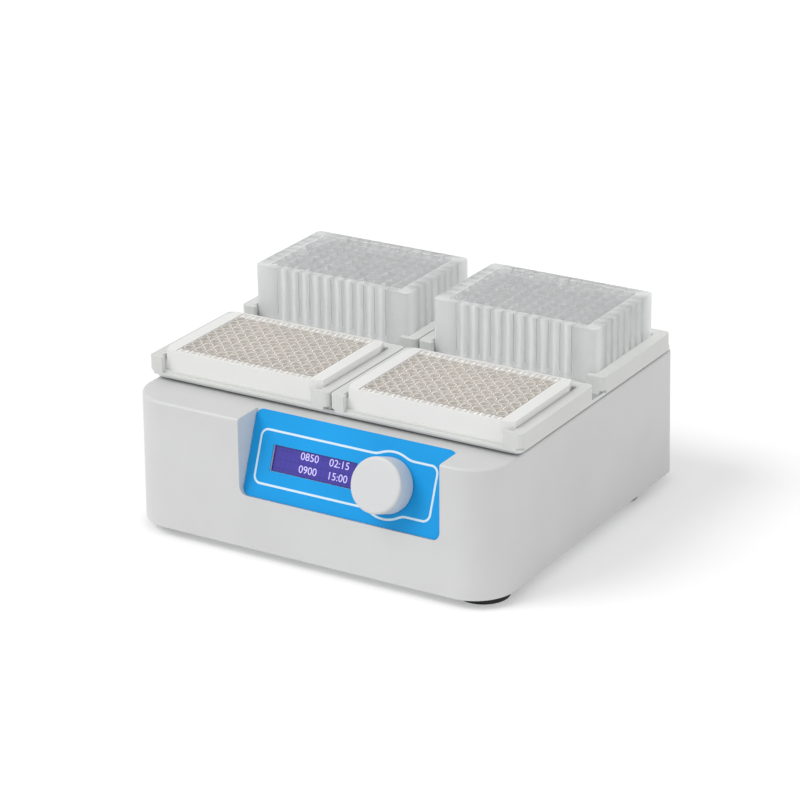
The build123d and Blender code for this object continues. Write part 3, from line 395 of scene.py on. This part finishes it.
milk_depth = 6.0
for finish, milk in ((strip_clear, 0.3), (deep_frosted, 0.8), (deep_wells, 0.8)):
    shader = finish.node_tree.nodes["Principled BSDF"]
    shader.inputs["Subsurface Weight"].default_value = milk
    shader.inputs["Subsurface Radius"].default_value = (1, 1, 1)
    shader.inputs["Subsurface Scale"].default_value = milk_depth * MM
    print(finish.name, "is milky by", milk)

# %% [markdown]
# Each CAD part wears one finish. Setting them by hand in the editor is slow and easy to get wrong,
# so a table says which parts wear what. The loop puts the finish in the part's own slots, and the
# printed list names any part that was forgotten.

# %% Dress the CAD parts
worn_by = {
    case_plastic: ["housing_shell"],
    holder_plastic: ["holder_front_left", "holder_front_right", "holder_rear_left", "holder_rear_right"],
    frame_plastic: ["low_plate_left_frame", "low_plate_right_frame"],
    knob_plastic: ["knob"],
    overlay_film: ["panel_overlay"],
    display_indigo: ["display_glass"],
    black_plastic: ["display_bezel", "encoder_body", "inlet_body", "switch_body", "switch_rocker",
                    "fuse_drawer", "control_parts", "power_parts"],
    rubber: ["feet"],
    aluminium: ["platform_plate", "bearing_cups", "crank_blocks", "motor_front"],
    zinc_sheet: ["base_plate", "deck_plate", "pillars", "board_posts"],
    screw_steel: ["display_screws", "foot_bolts", "foot_nuts", "chassis_screws", "holder_screws",
                  "encoder_nut"],
    ground_steel: ["drive_shaft", "encoder_rotor", "knob_shaft", "crank_left_front",
                   "crank_right_front", "crank_left_rear", "crank_right_rear"],
    cast_iron: ["counterweight", "motor_stator", "motor_rotor"],
    can_paint: ["motor_can"],
    brass: ["inlet_blades"],
    board_green: ["display_board", "encoder_board", "power_board", "control_board"],
    fuse_glass: ["fuse"],
    strip_clear: ["low_plate_left_strips", "low_plate_right_strips"],
    deep_frosted: ["deep_plate_left", "deep_plate_right"],
}
for finish, names in worn_by.items():
    for name in names:
        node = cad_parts[name]
        if not node.material_slots:
            node.data.materials.append(finish)
        for place in node.material_slots:
            place.material = finish
dressed = {name for names in worn_by.values() for name in names}
print("parts still bare:", sorted(set(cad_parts) - dressed))

# %% [markdown]
# New pieces share a few small jobs: read a CAD part's box in millimetres, add a box with softened
# edges, set down a copy, and turn a bmesh into an object that rides on its body and stands for
# its CAD part. Copying objects in the editor would leave hundreds of them, and one mesh is lighter.

# %% Piece helpers
sharp_angle = radians(35)


def box_in_mm(node):
    """The lowest corner, the highest corner and the middle of a CAD part, in millimetres."""
    low, high = (Vector(corner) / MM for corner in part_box(node))
    return low, high, (low + high) / 2


def add_box(bm, low, high, soft=0.0, finish_index=0):
    """A box between two corners in millimetres, its edges bevelled when soft is given."""
    low, high = Vector(low) * MM, Vector(high) * MM
    place = Matrix.Translation((low + high) / 2) @ Matrix.Diagonal((*(high - low), 1))
    made = bmesh.ops.create_cube(bm, size=1, matrix=place)["verts"]
    for face in {face for vert in made for face in vert.link_faces}:
        face.material_index = finish_index
    if soft:
        edges = {edge for vert in made for edge in vert.link_edges}
        bmesh.ops.bevel(bm, geom=list(edges), offset=soft * MM, offset_type="OFFSET", affect="EDGES",
                        segments=1, profile=0.5, material=-1, clamp_overlap=True)


def add_copy(bm, mesh, place):
    """Adds a copy of a small mesh, moved to a place in metres."""
    copy = mesh.copy()
    copy.transform(Matrix.Translation(place))
    bm.from_mesh(copy)
    bpy.data.meshes.remove(copy)


def finish_piece(bm, name, finishes, body, slot, *stands_for):
    """Makes the object, gives it its finishes, sets its body and hides the CAD nodes it stands for. The slot
    is not used.
    """
    mesh = bpy.data.meshes.new(name)
    bm.to_mesh(mesh)
    bm.free()
    for finish in finishes:
        mesh.materials.append(finish)
    mesh.shade_smooth()
    mesh.set_sharp_from_angle(angle=sharp_angle)
    piece = bpy.data.objects.new(name, mesh)
    bpy.context.scene.collection.objects.link(piece)
    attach(piece, body)
    if stands_for:
        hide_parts(*stands_for)
    print(name, "has", len(mesh.polygons), "faces")
    return piece


# %% [markdown]
# Each well of a low plate is a thin clear cup. The top band of its rim wears a pale finish, a painted
# highlight for the glints on the rims. A tapered cylinder with a Boolean hole is one way, but it leaves
# untidy faces. Here the outline of the wall is drawn once and spun round, with few sides, because the
# cup is set down ninety-six times on each plate.

# %% Well cup
well_pitch = 9.0
columns, rows = 12, 8
cup_outer, cup_inner = 3.85, 3.35
cup_depth, cup_floor = 11.5, 1.0
cup_sides = 12
rim_height, rim_lip = 1.2, 0.15
taper_outside, taper_inside = 0.3, 0.45
painted_glint_band = 0.3
hair = 1e-6


def spun_cup():
    """A cup that stands under the origin, its rim at zero."""
    outline = [
        (0, -cup_depth),
        (cup_inner - taper_outside, -cup_depth),
        (cup_outer - rim_lip, -rim_height),
        (cup_outer, 0),
        (cup_inner, 0),
        (cup_inner - taper_inside, cup_floor - cup_depth),
        (0, cup_floor - cup_depth),
    ]
    bm = bmesh.new()
    verts = [bm.verts.new(Vector((radius, 0, height)) * MM) for radius, height in outline]
    edges = [bm.edges.new(pair) for pair in zip(verts, verts[1:])]
    bmesh.ops.spin(bm, geom=verts + edges, cent=(0, 0, 0), axis=(0, 0, 1), angle=2 * pi,
                   steps=cup_sides, use_merge=True)
    bmesh.ops.remove_doubles(bm, verts=bm.verts, dist=hair)
    bmesh.ops.recalc_face_normals(bm, faces=bm.faces)
    # Faces in the top band of the rim take finish 1, the painted highlight.
    for face in bm.faces:
        face.material_index = face.calc_center_median().z > -painted_glint_band * MM
    mesh = bpy.data.meshes.new("cup")
    bm.to_mesh(mesh)
    bm.free()
    return mesh


cup = spun_cup()
print("one cup has", len(cup.polygons), "faces")

# %% [markdown]
# A low plate holds twelve strips of eight cups. Two narrow rails and small bridges join the cups,
# and a tab with two nibs at each end rests on the white frame. An Array modifier could repeat a
# strip, but plain loops let the rails, bridges and tabs follow the same pitch as the cups. The
# strips cast no shadow of their own, because clear plastic lets nearly all of the light pass.

# %% Strips
# Finish 1 is the painted highlight of the rims, and the nibs on the tabs wear it too.
painted_glint_finish, tab_finish = 1, 2
strip_width = 8.7
rail_width, rail_height = 0.85, 1.3
rim_rise = 0.7
bridge_half, bridge_reach, bridge_height = 1.1, 0.9, 1.0
tab_thickness, tab_drop, tab_overlap, tab_soft = 1.9, 0.5, 0.3, 0.25
nib_offset, nib_half, nib_inset, nib_height, nib_soft = 2.7, 0.9, 0.8, 0.7, 0.2


def add_rails(bm, x, front, rear, top):
    """The two rails that run along a strip."""
    for way in (-1, 1):
        edge = x + way * (strip_width - rail_width) / 2
        add_box(bm, (edge - rail_width / 2, front, top - rail_height), (edge + rail_width / 2, rear, top))


def add_tab(bm, x, front, rear, top):
    """The flat tab at one end of a strip, with its two nibs."""
    half = strip_width / 2
    add_box(bm, (x - half, front, top - tab_thickness), (x + half, rear, top - tab_drop),
            tab_soft, tab_finish)
    # The nibs wear the painted highlight of the rims.
    for nib in (x - nib_offset, x + nib_offset):
        add_box(bm, (nib - nib_half, front + nib_inset, top - nib_height),
                (nib + nib_half, rear - nib_inset, top), nib_soft, painted_glint_finish)


def add_strip(bm, x, low, high, middle):
    """One strip: cups, the bridges between them, rails and tabs."""
    top = high.z
    web_top = top - rim_rise
    front, rear = (middle.y + way * rows / 2 * well_pitch for way in (-1, 1))
    for row in range(rows):
        y = middle.y + (row - (rows - 1) / 2) * well_pitch
        add_copy(bm, cup, Vector((x, y, top)) * MM)
        if row:
            bridge_y = y - well_pitch / 2
            add_box(bm, (x - bridge_half, bridge_y - bridge_reach, web_top - bridge_height),
                    (x + bridge_half, bridge_y + bridge_reach, web_top))
    add_rails(bm, x, front, rear, web_top)
    add_tab(bm, x, low.y, front + tab_overlap, top)
    add_tab(bm, x, rear - tab_overlap, high.y, top)


for side_name in ("left", "right"):
    cad_strips = f"low_plate_{side_name}_strips"
    low, high, middle = box_in_mm(cad_strips)
    bm = bmesh.new()
    for column in range(columns):
        add_strip(bm, middle.x + (column - (columns - 1) / 2) * well_pitch, low, high, middle)
    finishes = (strip_clear, strip_rim_painted_glint, strip_tab)
    strips = finish_piece(bm, f"strips_{side_name}", finishes, f"low_{side_name}", "strip", cad_strips)
    strips.visible_shadow = False

# %% [markdown]
# A deep plate is one frosted moulding: a tall box with a flat top and ninety-six square wells with
# rounded bottoms. Wells cut by Boolean would be slow, and the walls between them are thin. Here a
# grid is the top. Every cell is inset and pushed down in steps that shrink, which rounds the
# bottom, and a Solidify modifier later gives each sheet its wall.

# %% Deep wells
deep_opening = 8.1
deep_floor = 2.5
well_taper = 0.97
bottom_steps = ((3.4, 0.80), (1.5, 0.62))
field_x, field_y = columns / 2 * well_pitch, rows / 2 * well_pitch


def sink_wells(bm, cells, depth):
    """Insets every cell and pushes it down to a rounded bottom."""
    bmesh.ops.inset_individual(bm, faces=cells, thickness=(well_pitch - deep_opening) / 2 * MM, depth=0)
    straight = depth - sum(drop for drop, shrink in bottom_steps)
    for drop, shrink in ((straight, well_taper), *bottom_steps):
        cells = bmesh.ops.extrude_discrete_faces(bm, faces=cells)["faces"]
        for cell in cells:
            middle = cell.calc_center_median()
            bmesh.ops.scale(bm, vec=(shrink, shrink, 1), space=Matrix.Translation(-middle), verts=cell.verts)
            bmesh.ops.translate(bm, vec=(0, 0, -drop * MM), verts=cell.verts)


print("wells cover", 2 * field_x, "by", 2 * field_y, "mm")

# %% [markdown]
# The shell of the plate grows from the border of the same grid. A second box would leave a seam
# along the top, so the border edges are extruded instead: out to the rim, down to the skirt, out
# by a small step, and down again. The four upright corners are then bevelled round.

# %% Deep shell
deep_wall = 0.44
deep_skirt, deep_skirt_step = 3.0, 0.28
deep_corner, corner_segments = 3.5, 4
corner_band = 1.0
least_rise = 0.5


def pull_border(bm, rim, half_x, half_y, drop):
    """Extrudes a rectangle of border edges out to new half sizes and down. Returns the new edges."""
    made = bmesh.ops.extrude_edge_only(bm, edges=rim)["geom"]
    verts = [part for part in made if isinstance(part, bmesh.types.BMVert)]
    reach_x = max(abs(vert.co.x) for vert in verts)
    reach_y = max(abs(vert.co.y) for vert in verts)
    for vert in verts:
        if abs(abs(vert.co.x) - reach_x) < hair:
            vert.co.x = copysign(half_x * MM, vert.co.x)
        if abs(abs(vert.co.y) - reach_y) < hair:
            vert.co.y = copysign(half_y * MM, vert.co.y)
        vert.co.z -= drop * MM
    return [part for part in made if isinstance(part, bmesh.types.BMEdge)]


def round_corners(bm, half_x, half_y):
    """Bevels the upright edges at the four corners of the shell."""
    corners = []
    for edge in bm.edges:
        spots = [vert.co / MM for vert in edge.verts]
        upright = abs(spots[0].z - spots[1].z) > least_rise
        wide = all(abs(spot.x) > half_x - corner_band for spot in spots)
        deep = all(abs(spot.y) > half_y - corner_band for spot in spots)
        if upright and wide and deep:
            corners.append(edge)
    bmesh.ops.bevel(bm, geom=corners, offset=deep_corner * MM, offset_type="OFFSET", affect="EDGES",
                    segments=corner_segments, profile=0.5, material=-1)


def turn_outward(bm):
    """Gives the shell finish 0 and the wells finish 1, and turns each so that its top looks up."""
    bm.normal_update()
    for face in bm.faces:
        spot = face.calc_center_median() / MM
        face.material_index = abs(spot.x) < field_x and abs(spot.y) < field_y
    for part in (0, 1):
        faces = [face for face in bm.faces if face.material_index == part]
        deck = [face for face in faces if face.calc_center_median().z > -hair]
        if sum(face.normal.z for face in deck) < 0:
            bmesh.ops.reverse_faces(bm, faces=faces)
        print("top faces that look up:", sum(face.normal.z > 0 for face in deck), "of", len(deck))


# %% [markdown]
# Now the two deep plates are put together. The ribs between wells and shell are plain boxes, as
# they are on the real moulding, and show faintly through its sides. A plate could be one mesh with
# its ribs, but ribs with a Solidify wall of their own would look hollow, so they stay a separate
# piece. Like the strips, the frosted pieces let the light pass and cast no shadow of their own.

# %% Deep plates
rib_width, rib_pitch = 1.4, 24.5
rib_overlap, rib_lift, rib_drop = 0.3, 2.0, 0.6


def build_deep_plate(side_name, height, half_x, half_y, place):
    """A frosted plate in the place of the CAD plate."""
    bm = bmesh.new()
    spread = Matrix.Diagonal((2 * field_x * MM, 2 * field_y * MM, 1, 1))
    bmesh.ops.create_grid(bm, x_segments=columns, y_segments=rows, size=0.5, matrix=spread)
    rim = [edge for edge in bm.edges if edge.is_boundary]
    sink_wells(bm, list(bm.faces), height - deep_floor)
    inner_x, inner_y = half_x - deep_skirt_step, half_y - deep_skirt_step
    rim = pull_border(bm, rim, inner_x, inner_y, 0)
    rim = pull_border(bm, rim, inner_x, inner_y, height - deep_skirt)
    rim = pull_border(bm, rim, half_x, half_y, 0)
    pull_border(bm, rim, half_x, half_y, deep_skirt)
    turn_outward(bm)
    round_corners(bm, inner_x, inner_y)
    bmesh.ops.translate(bm, vec=place * MM, verts=bm.verts)
    finishes = (deep_frosted, deep_wells)
    plate = finish_piece(bm, f"deep_{side_name}", finishes, f"deep_{side_name}", "deep_plate",
                         f"deep_plate_{side_name}")
    wall = plate.modifiers.new("wall", "SOLIDIFY")
    wall.thickness = deep_wall * MM
    wall.offset = -1
    plate.visible_shadow = False


def build_ribs(side_name, low, high, middle):
    """Upright ribs from the wells to the shell."""
    bm = bmesh.new()
    bottom, top = low.z + rib_lift, high.z - rib_drop
    inset = deep_skirt_step + deep_wall
    reach_x, reach_y = (high.x - low.x) / 2 - inset, (high.y - low.y) / 2 - inset
    for way in (-1, 1):
        ends_x = sorted(middle.x + way * reach for reach in (field_x + rib_overlap, reach_x))
        ends_y = sorted(middle.y + way * reach for reach in (field_y + rib_overlap, reach_y))
        for step in (-1, 0, 1):
            y = middle.y + step * rib_pitch
            add_box(bm, (ends_x[0], y - rib_width / 2, bottom), (ends_x[1], y + rib_width / 2, top))
        for step in (-1.5, -0.5, 0.5, 1.5):
            x = middle.x + step * rib_pitch
            add_box(bm, (x - rib_width / 2, ends_y[0], bottom), (x + rib_width / 2, ends_y[1], top))
    ribs = finish_piece(bm, f"deep_ribs_{side_name}", (deep_frosted,), f"deep_{side_name}", "deep_plate")
    ribs.visible_shadow = False


for side_name in ("left", "right"):
    low, high, middle = box_in_mm(f"deep_plate_{side_name}")
    size = high - low
    place = Vector((middle.x, middle.y, high.z))
    build_deep_plate(side_name, size.z, size.x / 2, size.y / 2, place)
    build_ribs(side_name, low, high, middle)

# %% [markdown]
# The display shows two rows of pale lilac figures, a speed and a time each. A dot pattern in the
# material could draw them, but text objects are quicker to read and to change. Each is made a mesh
# with a hair of thickness, and then laid on the glass in the panel's tilted directions. The
# figures are plain examples.

# %% Display figures
figure_lilac, figure_glow = (0.62, 0.56, 0.95), 0.25
glass_height = -2.2
figure_size, figure_thickness, figure_gap = 7.2, 0.03, 0.05
figure_columns = {"speed": -12.5, "time": 10.0}
figure_rows = {
    "upper": {"up": -27.6, "speed": "0850", "time": "02:15"},
    "lower": {"up": -36.4, "speed": "0900", "time": "15:00"},
}

figure_ink = make_finish("figure_ink", figure_lilac, 0.4, drift=0.04)
ink_shader = figure_ink.node_tree.nodes["Principled BSDF"]
ink_shader.inputs["Emission Color"].default_value = (*figure_lilac, 1)
ink_shader.inputs["Emission Strength"].default_value = figure_glow


def text_mesh(name, words):
    """Flat text with a hair of thickness, as a mesh at the origin."""
    curve = bpy.data.curves.new(name, "FONT")
    curve.body = words
    curve.size = figure_size * MM
    curve.extrude = figure_thickness * MM
    helper = bpy.data.objects.new(f"{name}_helper", curve)
    bpy.context.scene.collection.objects.link(helper)
    bpy.context.view_layer.update()
    mesh = bpy.data.meshes.new_from_object(helper.evaluated_get(bpy.context.evaluated_depsgraph_get()))
    bpy.data.objects.remove(helper)
    return mesh


def lay_text(name, words, x, y):
    """Puts one text on the glass, its lower left corner at a place on the panel."""
    mesh = text_mesh(name, words)
    mesh.transform(panel @ Matrix.Translation(Vector((x, y, glass_height + figure_gap)) * MM))
    mesh.materials.clear()
    mesh.materials.append(figure_ink)
    piece = bpy.data.objects.new(name, mesh)
    bpy.context.scene.collection.objects.link(piece)
    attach(piece, "housing")


for row_name, row in figure_rows.items():
    for kind, column_x in figure_columns.items():
        lay_text(f"figures_{row_name}_{kind}", row[kind], column_x, row["up"])
    print(row_name, "row shows", row["speed"], "and", row["time"])
